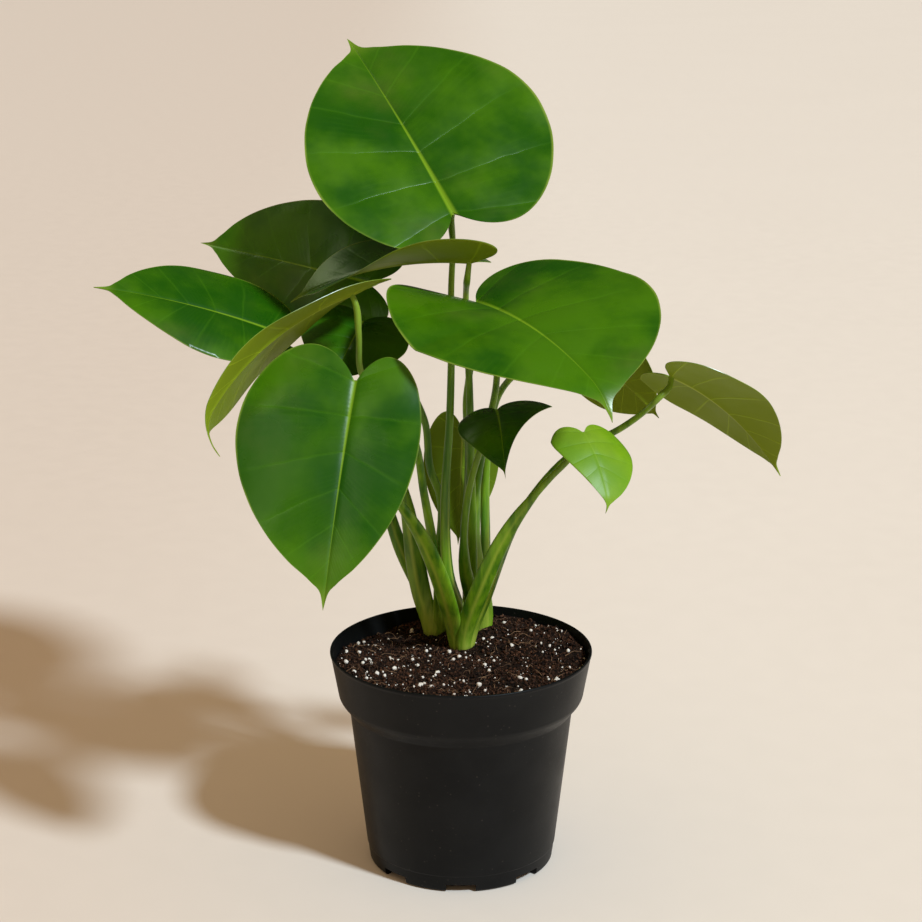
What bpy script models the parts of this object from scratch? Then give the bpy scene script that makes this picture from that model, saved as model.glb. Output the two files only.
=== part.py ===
"""A young potted monstera: nursery pot, potting soil, three crowns, and a stem and a blade for each leaf.

Metres, +Z up. The origin is the centre of the pot's base, on the surface that it stands on, and the
plant's front faces -Y. Crowns, stems and blades are placed from the plant's own datum, which lies level
with the pot's rim, so they follow the pot when its size changes.
"""

import math

import bmesh
import bpy
from mathutils import Matrix, Vector

# Pot: outer sizes, then its wall.
POT_HEIGHT = 0.140
RIM_RADIUS = 0.0825  # outer, at the top of the lip
LIP_FOOT_RADIUS = 0.0772  # outer, at the bottom of the lip band
SHOULDER_RADIUS = 0.0705  # outer, where the ledge under the lip meets the wall
BASE_RADIUS = 0.0597  # outer, above the rounded bottom corner
LIP_DEPTH = 0.030
LEDGE_DEPTH = 0.008
CORNER_RADIUS = 0.006
POT_WALL = 0.0016
FLOOR_THICKNESS = 0.0020
POT_SIDES = 48

# Pot foot: a ring and a centre pad touch the ground, and notches in the ring let water out.
FOOT_RING_WIDTH = 0.008
FOOT_LIFT = 0.0055  # height of the floor's raised channel above the ground
CENTRE_PAD_RADIUS = 0.020
CENTRE_PAD_SLOPE = 0.003
NOTCHES = 8
NOTCH_WIDTH = 0.0185
NOTCH_HEIGHT = 0.0045
DRAIN_HOLES = 8
DRAIN_HOLE_RADIUS = 0.0035
DRAIN_RING_RADIUS = 0.036

# Soil and the clearance that touching pieces keep.
SOIL_BELOW_RIM = 0.0125  # at its middle
SOIL_DISH = 0.005  # the edge of the soil stands this much higher than its middle
SOIL_STEPS = 4
CLEARANCE = 0.0004

# Crowns: short rootstocks set in the soil, placed from the plant's datum.
PLANT_SETBACK_SHARE = 0.572  # of the pot's inner radius at the soil
CROWN_HEIGHT = 0.006  # above the middle of the soil
CROWN_DEPTH = 0.018  # below the soil
CROWN_FOOT_SHARE = 0.6
CROWN_SIDES = 20
CROWN_PLACES = {
    "front": (0.001, -0.014),
    "left": (-0.017, 0.010),
    "back": (0.011, 0.014),
}

# Stems and blades.
STEM_BASE_RADIUS = 0.0024
STEM_BODY_RADIUS = 0.0030
STEM_TIP_RADIUS = 0.0015
STEM_RISE = 0.005  # straight length at either end of a stem
STEM_STEPS = 3  # tube rings for each stretch of a route
STEM_SIDES_LEVEL = 2
BLADE_THICKNESS = 0.0012
BLADE_ROWS = 13
BLADE_COLUMNS = 6

# Half of a heart-shaped blade with a drip tip: share of the half width, then share of the length.
HALF_OUTLINE = (
    (0.00, 0.00), (0.08, -0.06), (0.22, -0.125), (0.42, -0.16), (0.65, -0.12), (0.86, 0.00), (0.98, 0.15),
    (1.00, 0.28), (0.93, 0.44), (0.80, 0.57), (0.60, 0.70), (0.36, 0.81), (0.14, 0.885), (0.04, 0.93),
    (0.00, 1.00),
)
RIB_START = 0.12  # share of the outline's rows that fan out from the blade's base
RIB_END = 0.97

# Every leaf: base and tip of the blade and the way its upper face looks, then its shape. A pair holds
# the value for the two halves, left then right for someone who looks along the leaf from above.
# Angles are in degrees: arch bends the rib from base to tip, fold tilts each half up from the rib,
# curl bends it on towards its margin, and twist turns the blade about its rib. pinch narrows a half
# towards the tip. The route is the stem's, from above the crown to below the blade.
LEAVES = (
    dict(name="top", crown="front", slot=62, base=(-0.005, -0.025, 0.273), tip=(-0.073, 0.085, 0.367),
         face=(0.06, -0.60, 0.80), width=0.162, arch=10, fold=(6, 10), curl=(-6, -10), sweep=(0.08, 0.08),
         halves=(0.95, 1.05), pinch=(0.3, -0.05),
         route=((-0.008, -0.017, 0.039), (-0.010, -0.019, 0.089), (-0.007, -0.021, 0.142),
                (-0.006, -0.020, 0.181), (-0.006, -0.008, 0.225), (-0.005, -0.006, 0.248))),
    dict(name="upper_left", crown="left", slot=90, base=(-0.059, 0.005, 0.224), tip=(-0.168, 0.055, 0.240),
         face=(-0.34, -0.84, 0.42), width=0.090, arch=20, fold=(6, 6), curl=(-20, -20), halves=(0.85, 0.98),
         pinch=(0.3, -0.1),
         route=((-0.026, 0.025, 0.013), (-0.040, 0.025, 0.045), (-0.049, 0.023, 0.077),
                (-0.058, 0.019, 0.131), (-0.061, 0.015, 0.179), (-0.061, 0.012, 0.208))),
    dict(name="far_left", crown="left", slot=210, base=(-0.118, -0.025, 0.201), tip=(-0.220, -0.050, 0.232),
         face=(0.30, -0.40, 0.87), width=0.096, arch=16, fold=(6, 6), curl=(-20, -20), halves=(0.85, 0.95),
         route=((-0.026, 0.013, 0.017), (-0.036, 0.003, 0.085), (-0.051, -0.007, 0.138),
                (-0.081, -0.019, 0.174), (-0.105, -0.025, 0.188))),
    dict(name="mid_left", crown="front", slot=134, base=(-0.064, -0.085, 0.235), tip=(-0.150, -0.165, 0.161),
         face=(-0.69, 0.34, 0.63), width=0.100, arch=47, fold=(6, 6), curl=(-10, -10), twist=-37,
         halves=(0.5, 1.0), hook=-0.12,
         route=((-0.010, -0.011, 0.020), (-0.018, -0.017, 0.062), (-0.023, -0.027, 0.095),
                (-0.029, -0.045, 0.136), (-0.043, -0.063, 0.165), (-0.059, -0.079, 0.186),
                (-0.060, -0.086, 0.212))),
    dict(name="centre", crown="back", slot=-150, base=(0.005, -0.052, 0.248), tip=(-0.106, -0.008, 0.214),
         face=(-0.20, 0.00, 0.90), width=0.110, arch=32, fold=(20, 16), curl=(-10, -10), twist=62,
         halves=(0.62, 0.62), lobes=(1.0, 0.4), pinch=(0.0, -0.4),
         route=((0.006, 0.007, 0.041), (0.006, 0.001, 0.092), (0.006, -0.005, 0.123),
                (0.005, -0.014, 0.168), (0.003, -0.024, 0.204), (0.003, -0.035, 0.225))),
    dict(name="front", crown="front", slot=-154, base=(-0.061, -0.115, 0.189), tip=(-0.078, -0.175, 0.071),
         face=(-0.12, -0.90, 0.30), width=0.107, arch=16, fold=(8, 8), curl=(-16, -16), halves=(0.8, 1.2),
         lobes=(0.8, 0.96),
         route=((-0.009, -0.027, 0.025), (-0.025, -0.041, 0.073), (-0.039, -0.053, 0.100),
                (-0.052, -0.075, 0.137), (-0.059, -0.098, 0.169))),
    dict(name="right", crown="back", slot=-30, base=(0.009, -0.045, 0.222), tip=(0.088, -0.153, 0.181),
         face=(0.16, -0.28, 0.95), width=0.150, arch=36, fold=(18, 4), curl=(-10, -20), hook=-0.06,
         lift=(0.1, 0.45), sweep=(0.06, 0.0), pinch=(-0.25, 0.0),
         route=((0.008, 0.015, 0.052), (0.010, 0.010, 0.089), (0.015, 0.003, 0.122),
                (0.022, -0.010, 0.162), (0.021, -0.027, 0.191), (0.014, -0.039, 0.207))),
    dict(name="middle", crown="back", slot=-90, base=(0.022, -0.025, 0.150), tip=(0.027, -0.070, 0.118),
         face=(0.00, -0.45, 0.90), width=0.063, arch=60, fold=(14, -5), curl=(-35, -35), halves=(1.3, 0.95),
         pinch=(2.5, 0.5),
         route=((0.002, -0.009, 0.046), (0.004, -0.014, 0.088), (0.011, -0.018, 0.118),
                (0.018, -0.020, 0.136))),
    dict(name="back_right", crown="back", slot=150, base=(0.055, 0.025, 0.205), tip=(0.104, 0.005, 0.215),
         face=(0.00, -0.30, 0.90), width=0.060, arch=20, fold=(10, 10), curl=(-20, -20),
         route=((0.004, 0.030, 0.047), (0.005, 0.027, 0.109), (0.004, 0.023, 0.150),
                (0.012, 0.023, 0.179), (0.038, 0.025, 0.190))),
    dict(name="behind_right", crown="back", slot=30, base=(0.082, 0.010, 0.177), tip=(0.125, -0.005, 0.139),
         face=(0.30, 0.85, 0.40), width=0.060, arch=20, fold=(6, 6), curl=(-20, -20),
         route=((0.016, 0.026, 0.047), (0.016, 0.030, 0.087), (0.018, 0.033, 0.114),
                (0.024, 0.032, 0.144), (0.036, 0.020, 0.162), (0.060, 0.006, 0.172))),
    dict(name="small_right", crown="front", slot=-82, base=(0.075, -0.055, 0.143), tip=(0.089, -0.090, 0.103),
         face=(0.40, -0.55, 0.70), width=0.058, arch=40, fold=(0, -10), curl=(-20, -20), halves=(1.0, 0.9),
         pinch=(0.0, 1.0), hook=-0.08,
         route=((0.012, -0.031, 0.034), (0.034, -0.043, 0.084), (0.055, -0.050, 0.113),
                (0.067, -0.053, 0.127))),
    dict(name="far_right", crown="front", slot=-10, base=(0.128, -0.045, 0.176), tip=(0.200, -0.025, 0.107),
         face=(0.50, 0.70, 0.60), width=0.085, arch=40, fold=(16, 5), curl=(-20, -20),
         halves=(0.85, 1.0), lobes=(0.4, 1.0),
         route=((0.015, -0.019, 0.023), (0.040, -0.024, 0.086), (0.071, -0.027, 0.123),
                (0.098, -0.032, 0.139), (0.111, -0.043, 0.152), (0.120, -0.055, 0.165))),
    dict(name="back", crown="back", slot=90, base=(0.001, 0.055, 0.115), tip=(-0.002, 0.040, 0.040),
         face=(0.00, 0.90, 0.30), width=0.050, arch=20, fold=(10, 10), curl=(-20, -20),
         route=((0.010, 0.034, 0.047), (0.010, 0.041, 0.084), (0.005, 0.044, 0.104))),
    dict(name="inner_left", crown="left", slot=-30, base=(-0.060, -0.032, 0.207), tip=(-0.077, -0.077, 0.178),
         face=(0.10, -0.40, 0.90), width=0.067, arch=20, fold=(10, 10), curl=(-20, -20),
         route=((-0.013, 0.001, 0.043), (-0.013, -0.003, 0.087), (-0.019, -0.005, 0.104),
                (-0.023, -0.010, 0.139), (-0.035, -0.018, 0.166), (-0.050, -0.024, 0.187))),
)
PLAIN_SHAPE = dict(arch=0, twist=0, fold=(0, 0), curl=(0, 0), halves=(1, 1), sweep=(0, 0), lobes=(1, 1),
                   lift=(0, 0), pinch=(0, 0), hook=0)
HOOK_START = 0.8  # share of the length where a drip tip starts to bend
LIFT_END = 0.3  # share of the length up to which the lobes are lifted
TWIST_CENTRE = 0.4
FLATTEST_BEND = 1e-4  # radians: a bend smaller than this is drawn as straight

# Colour (linear), roughness and metallic value of each material.
MATERIALS = {
    "pot_plastic": ((0.012, 0.012, 0.013), 0.45, 0.0),
    "peat": ((0.030, 0.016, 0.010), 0.95, 0.0),
    "crown_flesh": ((0.330, 0.420, 0.110), 0.50, 0.0),
    "stem_flesh": ((0.170, 0.330, 0.040), 0.45, 0.0),
    "leaf_blade": ((0.050, 0.200, 0.015), 0.35, 0.0),
}


def clear_scene():
    for obj in list(bpy.data.objects):
        bpy.data.objects.remove(obj)


def material_for(name, piece):
    """A Principled material of one finish, for one piece."""
    colour, roughness, metallic = MATERIALS[name]
    material = bpy.data.materials.new(f"{name}_{piece}")
    material.use_nodes = True
    shader = material.node_tree.nodes["Principled BSDF"]
    shader.inputs["Base Color"].default_value = (*colour, 1.0)
    shader.inputs["Roughness"].default_value = roughness
    shader.inputs["Metallic"].default_value = metallic
    return material


def mesh_object(name, shape, finish=None, crease=40):
    """An object made from a bmesh, shaded smooth apart from edges sharper than crease degrees."""
    mesh = bpy.data.meshes.new(name)
    shape.to_mesh(mesh)
    shape.free()
    mesh.shade_smooth()
    mesh.set_sharp_from_angle(angle=math.radians(crease))
    obj = bpy.data.objects.new(name, mesh)
    bpy.context.scene.collection.objects.link(obj)
    if finish:
        mesh.materials.append(material_for(finish, name))
    return obj


def turned(profile, sides):
    """A closed solid of revolution: the profile runs from the axis, outside first, back to the axis."""
    shape = bmesh.new()
    points = [shape.verts.new((radius, 0.0, height)) for radius, height in profile]
    edges = [shape.edges.new(pair) for pair in zip(points, points[1:])]
    bmesh.ops.spin(shape, geom=points + edges, axis=(0, 0, 1), cent=(0, 0, 0), angle=2 * math.pi,
                   steps=sides, use_merge=True, use_duplicate=False)
    bmesh.ops.remove_doubles(shape, verts=shape.verts, dist=1e-6)
    bmesh.ops.recalc_face_normals(shape, faces=shape.faces)
    return shape


def cutter(name, shape):
    obj = mesh_object(name, shape)
    obj.hide_render = True
    obj.display_type = "WIRE"
    return obj


def cut(obj, tool):
    modifier = obj.modifiers.new(f"cut_{tool.name}", "BOOLEAN")
    modifier.operation = "DIFFERENCE"
    modifier.solver = "EXACT"
    modifier.object = tool


def wall_radius(height, inset=0.0):
    """Outer radius of the pot at a height, less an inset."""
    levels = (
        (CORNER_RADIUS, BASE_RADIUS),
        (POT_HEIGHT - LIP_DEPTH - LEDGE_DEPTH, SHOULDER_RADIUS),
        (POT_HEIGHT - LIP_DEPTH, LIP_FOOT_RADIUS),
        (POT_HEIGHT, RIM_RADIUS),
    )
    for (low, narrow), (high, wide) in zip(levels, levels[1:]):
        if height <= high:
            break
    share = max(0.0, (height - low) / (high - low))
    return narrow + share * (wide - narrow) - inset


def corner_arc(radius, steps=4):
    """The rounded outer corner between the foot ring and the wall."""
    turns = [math.pi / 2 * step / steps for step in range(steps + 1)]
    centre = BASE_RADIUS - radius
    return [(centre + radius * math.sin(turn), radius - radius * math.cos(turn)) for turn in turns]


def floor_line(lift):
    """The floor's cross-section from the axis outwards: centre pad, then the raised channel."""
    channel_start = CENTRE_PAD_RADIUS + CENTRE_PAD_SLOPE
    return [(0.0, lift), (CENTRE_PAD_RADIUS, lift), (channel_start, lift + FOOT_LIFT)]


def foot_start():
    """Inner radius of the foot ring."""
    return BASE_RADIUS - CORNER_RADIUS - FOOT_RING_WIDTH


def pot_profile():
    outside = floor_line(0.0) + [(foot_start() - CENTRE_PAD_SLOPE, FOOT_LIFT), (foot_start(), 0.0)]
    outside += corner_arc(CORNER_RADIUS)
    outside += [
        (SHOULDER_RADIUS, POT_HEIGHT - LIP_DEPTH - LEDGE_DEPTH),
        (LIP_FOOT_RADIUS, POT_HEIGHT - LIP_DEPTH),
        (RIM_RADIUS, POT_HEIGHT),
    ]
    inside = [
        (RIM_RADIUS - POT_WALL, POT_HEIGHT),
        (LIP_FOOT_RADIUS - POT_WALL, POT_HEIGHT - LIP_DEPTH),
        (SHOULDER_RADIUS - POT_WALL, POT_HEIGHT - LIP_DEPTH - LEDGE_DEPTH),
        (wall_radius(FOOT_LIFT + FLOOR_THICKNESS, POT_WALL), FOOT_LIFT + FLOOR_THICKNESS),
    ]
    return outside + inside + floor_line(FLOOR_THICKNESS)[::-1]


def ring_of(count, start=0.0):
    return [start + 2 * math.pi * step / count for step in range(count)]


def build_pot():
    pot = mesh_object("nursery_pot", turned(pot_profile(), POT_SIDES), "pot_plastic", crease=30)
    notches = bmesh.new()
    for turn in ring_of(NOTCHES, -math.pi / 2):
        made = bmesh.ops.create_cube(notches, size=1.0)["verts"]
        bmesh.ops.scale(notches, verts=made, vec=(4 * FOOT_RING_WIDTH, NOTCH_WIDTH, 2 * NOTCH_HEIGHT))
        bmesh.ops.translate(notches, verts=made, vec=(foot_start() + 2 * FOOT_RING_WIDTH, 0.0, 0.0))
        bmesh.ops.rotate(notches, verts=made, matrix=Matrix.Rotation(turn, 3, "Z"))
    cut(pot, cutter("foot_notches", notches))
    holes = bmesh.new()
    for turn in ring_of(DRAIN_HOLES, -math.pi / 2 + math.pi / DRAIN_HOLES):
        made = bmesh.ops.create_cone(holes, cap_ends=True, segments=12, radius1=DRAIN_HOLE_RADIUS,
                                     radius2=DRAIN_HOLE_RADIUS, depth=6 * FLOOR_THICKNESS)["verts"]
        bmesh.ops.translate(holes, verts=made, vec=(DRAIN_RING_RADIUS, 0.0, FOOT_LIFT))
        bmesh.ops.rotate(holes, verts=made, matrix=Matrix.Rotation(turn, 3, "Z"))
    cut(pot, cutter("drain_holes", holes))
    return pot


def soil_top(radius):
    """Height of the soil's gently dished surface at a radius from the pot's axis."""
    edge = wall_radius(POT_HEIGHT - SOIL_BELOW_RIM, POT_WALL)
    rise = math.sin(math.pi / 2 * min(1.0, radius / edge)) ** 2
    return POT_HEIGHT - SOIL_BELOW_RIM + SOIL_DISH * rise


def build_soil(crown_tools):
    inset = POT_WALL + CLEARANCE
    shoulder = POT_HEIGHT - LIP_DEPTH - LEDGE_DEPTH
    bottom = FOOT_LIFT + FLOOR_THICKNESS + CLEARANCE
    edge = wall_radius(POT_HEIGHT - SOIL_BELOW_RIM + SOIL_DISH, inset)
    profile = [(CENTRE_PAD_RADIUS * step, FLOOR_THICKNESS + CLEARANCE) for step in (0, 1)]
    profile[1] = (profile[1][0] - CLEARANCE, profile[1][1])
    profile += [
        (CENTRE_PAD_RADIUS + CENTRE_PAD_SLOPE - CLEARANCE, bottom),
        (wall_radius(bottom, inset), bottom),
        (SHOULDER_RADIUS - inset, shoulder),
        (LIP_FOOT_RADIUS - inset, POT_HEIGHT - LIP_DEPTH),
    ]
    for step in range(SOIL_STEPS, -1, -1):
        radius = edge * step / SOIL_STEPS
        profile.append((radius, soil_top(radius)))
    soil = mesh_object("potting_soil", turned(profile, POT_SIDES), "peat")
    for tool in crown_tools:
        cut(soil, tool)
    return soil


def datum():
    """The plant's own zero: level with the rim, set back from the pot's axis."""
    inner = wall_radius(POT_HEIGHT - SOIL_BELOW_RIM, POT_WALL)
    return Vector((0.0, PLANT_SETBACK_SHARE * inner, POT_HEIGHT))


def crown_centre(name):
    across, back = CROWN_PLACES[name]
    centre = datum() + Vector((across, back, 0.0))
    centre.z = POT_HEIGHT - SOIL_BELOW_RIM + CROWN_HEIGHT
    return centre


def stems_on(crown):
    return [leaf for leaf in LEAVES if leaf["crown"] == crown]


def ring_radius(crown):
    """Radius of the ring on which a crown's stems stand side by side."""
    spread = 2 * STEM_BASE_RADIUS + 2 * CLEARANCE
    return spread / (2 * math.sin(math.pi / len(stems_on(crown))))


def crown_shape(name, grow=0.0):
    """A crown's turned body, or with grow the slightly larger pocket that it leaves in the soil."""
    shoulder = ring_radius(name) + STEM_BASE_RADIUS + CLEARANCE + grow
    foot = CROWN_FOOT_SHARE * shoulder
    height = CROWN_HEIGHT + CROWN_DEPTH
    top = 0.25 * height if grow else 0.0
    profile = [
        (0.0, -height - grow), (foot, -height - grow), (shoulder, -0.4 * height), (shoulder, top), (0.0, top),
    ]
    shape = turned(profile, CROWN_SIDES)
    bmesh.ops.translate(shape, verts=shape.verts, vec=crown_centre(name))
    return shape


def build_crown(name):
    return mesh_object(f"crown_{name}", crown_shape(name), "crown_flesh")


def smooth_route(points, steps):
    """Points along a smooth curve through the given ones, straight where it starts and ends."""
    points = [Vector(point) for point in points]
    spans = [(end - start).length for start, end in zip(points, points[1:])]
    slopes = [(end - start) / span for start, end, span in zip(points, points[1:], spans)]
    middle = zip(spans, spans[1:], slopes, slopes[1:])
    headings = [(before * far + after * near) / (near + far) for near, far, before, after in middle]
    headings = [slopes[0], *headings, slopes[-1]]
    route = []
    for start, end, span, leave, arrive in zip(points, points[1:], spans, headings, headings[1:]):
        for step in range(steps):
            share = step / steps
            ease = share * share * (3 - 2 * share)
            route.append(start.lerp(end, ease) + share * (1 - share) ** 2 * span * leave
                         - share * share * (1 - share) * span * arrive)
    return route + [points[-1]]


def blade_frame(leaf):
    """A blade's base, its length, and the directions along it, across it and out of its upper face."""
    base = datum() + Vector(leaf["base"])
    chord = Vector(leaf["tip"]) - Vector(leaf["base"])
    along = chord.normalized()
    face = Vector(leaf["face"])
    out = (face - face.dot(along) * along).normalized()
    return base, chord.length, along, along.cross(out), out


def turned_pair(across, out, degrees):
    turn = math.radians(degrees)
    return (math.cos(turn) * across + math.sin(turn) * out, math.cos(turn) * out - math.sin(turn) * across)


def bent(angle):
    return angle if abs(angle) > FLATTEST_BEND else FLATTEST_BEND


def blade_point(leaf, margin, rib, share):
    """A point of the blade: share runs from -1 at one margin over 0 at the rib to 1 at the other."""
    base, length, along, across, out = blade_frame(leaf)
    half = 0 if share < 0 else 1
    reach = abs(share)
    back = leaf["lobes"][half] if margin.y < 0 else 1.0
    run = rib + (margin.y * back + leaf["sweep"][half] * margin.x - rib) * reach
    spread = margin.x * math.exp(-leaf["pinch"][half] * max(0.0, margin.y)) * reach
    arch = bent(math.radians(leaf["arch"]))
    slope = arch / 2 - arch * run
    bow = length / (2 * math.sin(arch / 2))
    point = base + bow * ((math.sin(arch / 2) - math.sin(slope)) * along
                          + (math.cos(slope) - math.cos(arch / 2)) * out)
    normal = math.cos(slope) * out - math.sin(slope) * along
    side, normal = turned_pair(across, normal, leaf["twist"] * (run - TWIST_CENTRE))
    fold = math.radians(leaf["fold"][half])
    curl = bent(math.radians(leaf["curl"][half]))
    reach_out = leaf["width"] / 2 * leaf["halves"][half] / curl
    over = reach_out * (math.sin(fold + curl * spread) - math.sin(fold))
    up = reach_out * (math.cos(fold) - math.cos(fold + curl * spread))
    up += leaf["lift"][half] * length * spread * min(1.0, max(0.0, LIFT_END - run))
    up += leaf["hook"] * length * max(0.0, (run - HOOK_START) / (1 - HOOK_START)) ** 2
    return point + math.copysign(over, share) * side + up * normal


def base_normal(leaf):
    """Direction out of the blade's upper face where the stem meets it."""
    _, _, along, across, out = blade_frame(leaf)
    slope = math.radians(leaf["arch"]) / 2
    normal = math.cos(slope) * out - math.sin(slope) * along
    return turned_pair(across, normal, -leaf["twist"] * TWIST_CENTRE)[1].normalized()


def build_blade(leaf):
    """The upper face, row by row from the sinus round the margin to the tip, thickened downwards."""
    outline = smooth_route([(across, along, 0.0) for across, along in HALF_OUTLINE], 6)
    shape = bmesh.new()
    bmesh.ops.create_grid(shape, x_segments=BLADE_COLUMNS, y_segments=BLADE_ROWS, size=1.0)
    for vert in shape.verts:
        row = (vert.co.y + 1) / 2
        margin = outline[round(row * (len(outline) - 1))]
        rib = RIB_END * max(0.0, (row - RIB_START) / (1 - RIB_START)) if row < 1 else 1.0
        vert.co = blade_point(leaf, margin, rib, vert.co.x)
    bmesh.ops.remove_doubles(shape, verts=shape.verts, dist=1e-5)
    blade = mesh_object(f"leaf_{leaf['name']}", shape, "leaf_blade", crease=80)
    solid = blade.modifiers.new("thickness", "SOLIDIFY")
    solid.thickness = BLADE_THICKNESS
    solid.offset = -1.0
    return blade


def stem_foot(leaf):
    """Where a stem stands on its crown: one place of the ring round the crown's middle."""
    turn = math.radians(leaf["slot"])
    ring = ring_radius(leaf["crown"])
    return crown_centre(leaf["crown"]) + Vector((ring * math.cos(turn), ring * math.sin(turn), CLEARANCE))


def build_stem(leaf):
    """A tapering tube from the crown's flat top to the underside of the blade."""
    foot = stem_foot(leaf)
    normal = base_normal(leaf)
    droop = math.radians(max(0, -min(leaf["fold"])))
    seat = BLADE_THICKNESS + CLEARANCE + STEM_TIP_RADIUS * math.tan(droop)
    head = datum() + Vector(leaf["base"]) - seat * normal
    stops = [foot, foot + Vector((0.0, 0.0, STEM_RISE))]
    stops += [datum() + Vector(stop) for stop in leaf["route"]]
    stops += [head - STEM_RISE * normal, head]
    points = smooth_route(stops, STEM_STEPS)
    data = bpy.data.curves.new(f"stem_{leaf['name']}", "CURVE")
    data.dimensions = "3D"
    data.bevel_depth = STEM_BODY_RADIUS
    data.bevel_resolution = STEM_SIDES_LEVEL
    data.use_fill_caps = True
    line = data.splines.new("POLY")
    line.points.add(len(points) - 1)
    for place, (spot, point) in enumerate(zip(line.points, points)):
        share = place / (len(points) - 1)
        swell = min(1.0, place / (2 * STEM_STEPS))
        radius = STEM_BASE_RADIUS + swell * (STEM_BODY_RADIUS - STEM_BASE_RADIUS)
        radius += share ** 1.5 * (STEM_TIP_RADIUS - STEM_BODY_RADIUS)
        spot.co = (*point, 1.0)
        spot.radius = radius / STEM_BODY_RADIUS
    line.use_smooth = True
    stem = bpy.data.objects.new(data.name, data)
    bpy.context.scene.collection.objects.link(stem)
    data.materials.append(material_for("stem_flesh", data.name))
    return stem


clear_scene()
LEAVES = tuple(PLAIN_SHAPE | leaf for leaf in LEAVES)
build_pot()
pockets = [cutter(f"pocket_{name}", crown_shape(name, CLEARANCE)) for name in CROWN_PLACES]
build_soil(pockets)
for crown_name in CROWN_PLACES:
    build_crown(crown_name)
for plan in LEAVES:
    build_stem(plan)
    build_blade(plan)
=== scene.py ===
"""Looks of a young potted monstera: blades, petioles, rootstocks, soil and nursery pot, in metres, +Z up.

Blades and petioles are shaped from the plant's datum, which lies level with the pot's rim and is found
from the frame. Each blade is one leaf-shaped sheet with a grooved rib above and a raised rib below.
"""

import math
import random

import bmesh
import bpy
from mathutils import Matrix, Vector, noise


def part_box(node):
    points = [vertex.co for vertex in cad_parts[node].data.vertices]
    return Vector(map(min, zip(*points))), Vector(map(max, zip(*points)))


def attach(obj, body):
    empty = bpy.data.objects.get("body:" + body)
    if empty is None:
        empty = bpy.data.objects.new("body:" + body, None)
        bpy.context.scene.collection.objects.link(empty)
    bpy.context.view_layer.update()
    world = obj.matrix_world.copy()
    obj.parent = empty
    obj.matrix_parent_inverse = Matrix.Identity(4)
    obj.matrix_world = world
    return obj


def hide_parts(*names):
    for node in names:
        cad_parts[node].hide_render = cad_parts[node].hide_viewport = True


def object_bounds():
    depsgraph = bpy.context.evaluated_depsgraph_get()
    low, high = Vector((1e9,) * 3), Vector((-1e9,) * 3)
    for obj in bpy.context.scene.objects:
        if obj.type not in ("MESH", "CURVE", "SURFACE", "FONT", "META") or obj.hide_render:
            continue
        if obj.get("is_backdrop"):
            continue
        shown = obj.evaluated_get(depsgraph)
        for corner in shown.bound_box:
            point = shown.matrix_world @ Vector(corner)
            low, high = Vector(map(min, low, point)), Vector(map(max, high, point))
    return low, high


# Pot, as turned: radii and heights of its outer side and its wall.
LIP_FOOT_RADIUS = 0.0772
SHOULDER_RADIUS = 0.0705
BASE_RADIUS = 0.0597
LIP_DEPTH = 0.030
LEDGE_DEPTH = 0.008
CORNER_RADIUS = 0.006
POT_WALL = 0.0016
FLOOR_THICKNESS = 0.0020
FOOT_RING_WIDTH = 0.008
FOOT_LIFT = 0.0055
CENTRE_PAD_RADIUS = 0.020
CENTRE_PAD_SLOPE = 0.003
NOTCHES = 8
NOTCH_WIDTH = 0.0185
NOTCH_HEIGHT = 0.0053
SEAM_HEIGHT = 0.0115  # of the step above the foot
DRAIN_HOLES = 8
DRAIN_HOLE_RADIUS = 0.0035
DRAIN_RING_RADIUS = 0.036
POT_SIDES = 144

# Soil and what lies in it.
SOIL_DISH = 0.005  # its edge stands this much higher than its middle
SOIL_GAP = 0.0004  # between the soil and the pot
SOIL_RINGS = 56
SOIL_SIDES = 150
SOIL_SWELLS = (((0.040, 0.040), 0.0032, 0.030), ((-0.045, 0.040), -0.0065, 0.020))  # place, height, spread
CLUMP_HEIGHT = 0.0022
CRUMB_HEIGHT = 0.0009
PERLITE_GRAINS = 420
PEAT_CRUMBS = 6500
FIBRES = 110
CROWN_CLEARING = 0.0085  # grains keep this far from the middle of a crown
FIBRE_RADIUS = 0.00017
GRAIN_BATCH = 100  # grains made together before they join the rest

# Crowns, and where each stands from the plant's datum.
CROWN_PLACES = {
    "front": (0.001, -0.014),
    "left": (-0.017, 0.010),
    "back": (0.011, 0.014),
}
STEM_BASE_RADIUS = 0.0024
STEM_GAP = 0.0008
STEM_BODY_RADIUS = 0.0029
STEM_TIP_RADIUS = 0.0016
STEM_RISE = 0.005
STEM_STEPS = 8
STEM_SIDES = 20
STEM_SINK = 0.010  # how far a stalk reaches down into its crown
KEEL_WIDTH = 0.16  # of a sheath's keel, its height and the groove behind it: shares of the stalk's radii
KEEL_HEIGHT = 0.16
BACK_GROOVE = 0.75
SCAR_HEIGHT = 0.0004
KNOB_HEIGHT = 0.0006

# Blades.
BLADE_THICKNESS = 0.0008
BLADE_ROWS_PER_STRETCH = 6
BLADE_COLUMNS = 22  # on each side of the rib
COLUMN_CROWDING = 1.6  # draws the columns together at the rib
RIB_GROOVE = 0.0005
RIB_RIDGE = 0.0011
RIB_WIDTH = 0.0014
RIPPLE = 0.010  # of the margin, a share of the blade's length
WIDEST_BLADE = 0.162

# Half of a heart-shaped blade with a drip tip: share of the half width, then share of the length.
HALF_OUTLINE = (
    (0.00, 0.00), (0.08, -0.06), (0.22, -0.125), (0.42, -0.16), (0.65, -0.12), (0.86, 0.00), (0.98, 0.15),
    (1.00, 0.28), (0.93, 0.44), (0.80, 0.57), (0.60, 0.70), (0.36, 0.81), (0.14, 0.885), (0.04, 0.93),
    (0.00, 1.00),
)
RIB_START = 0.12
RIB_END = 0.97

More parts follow.
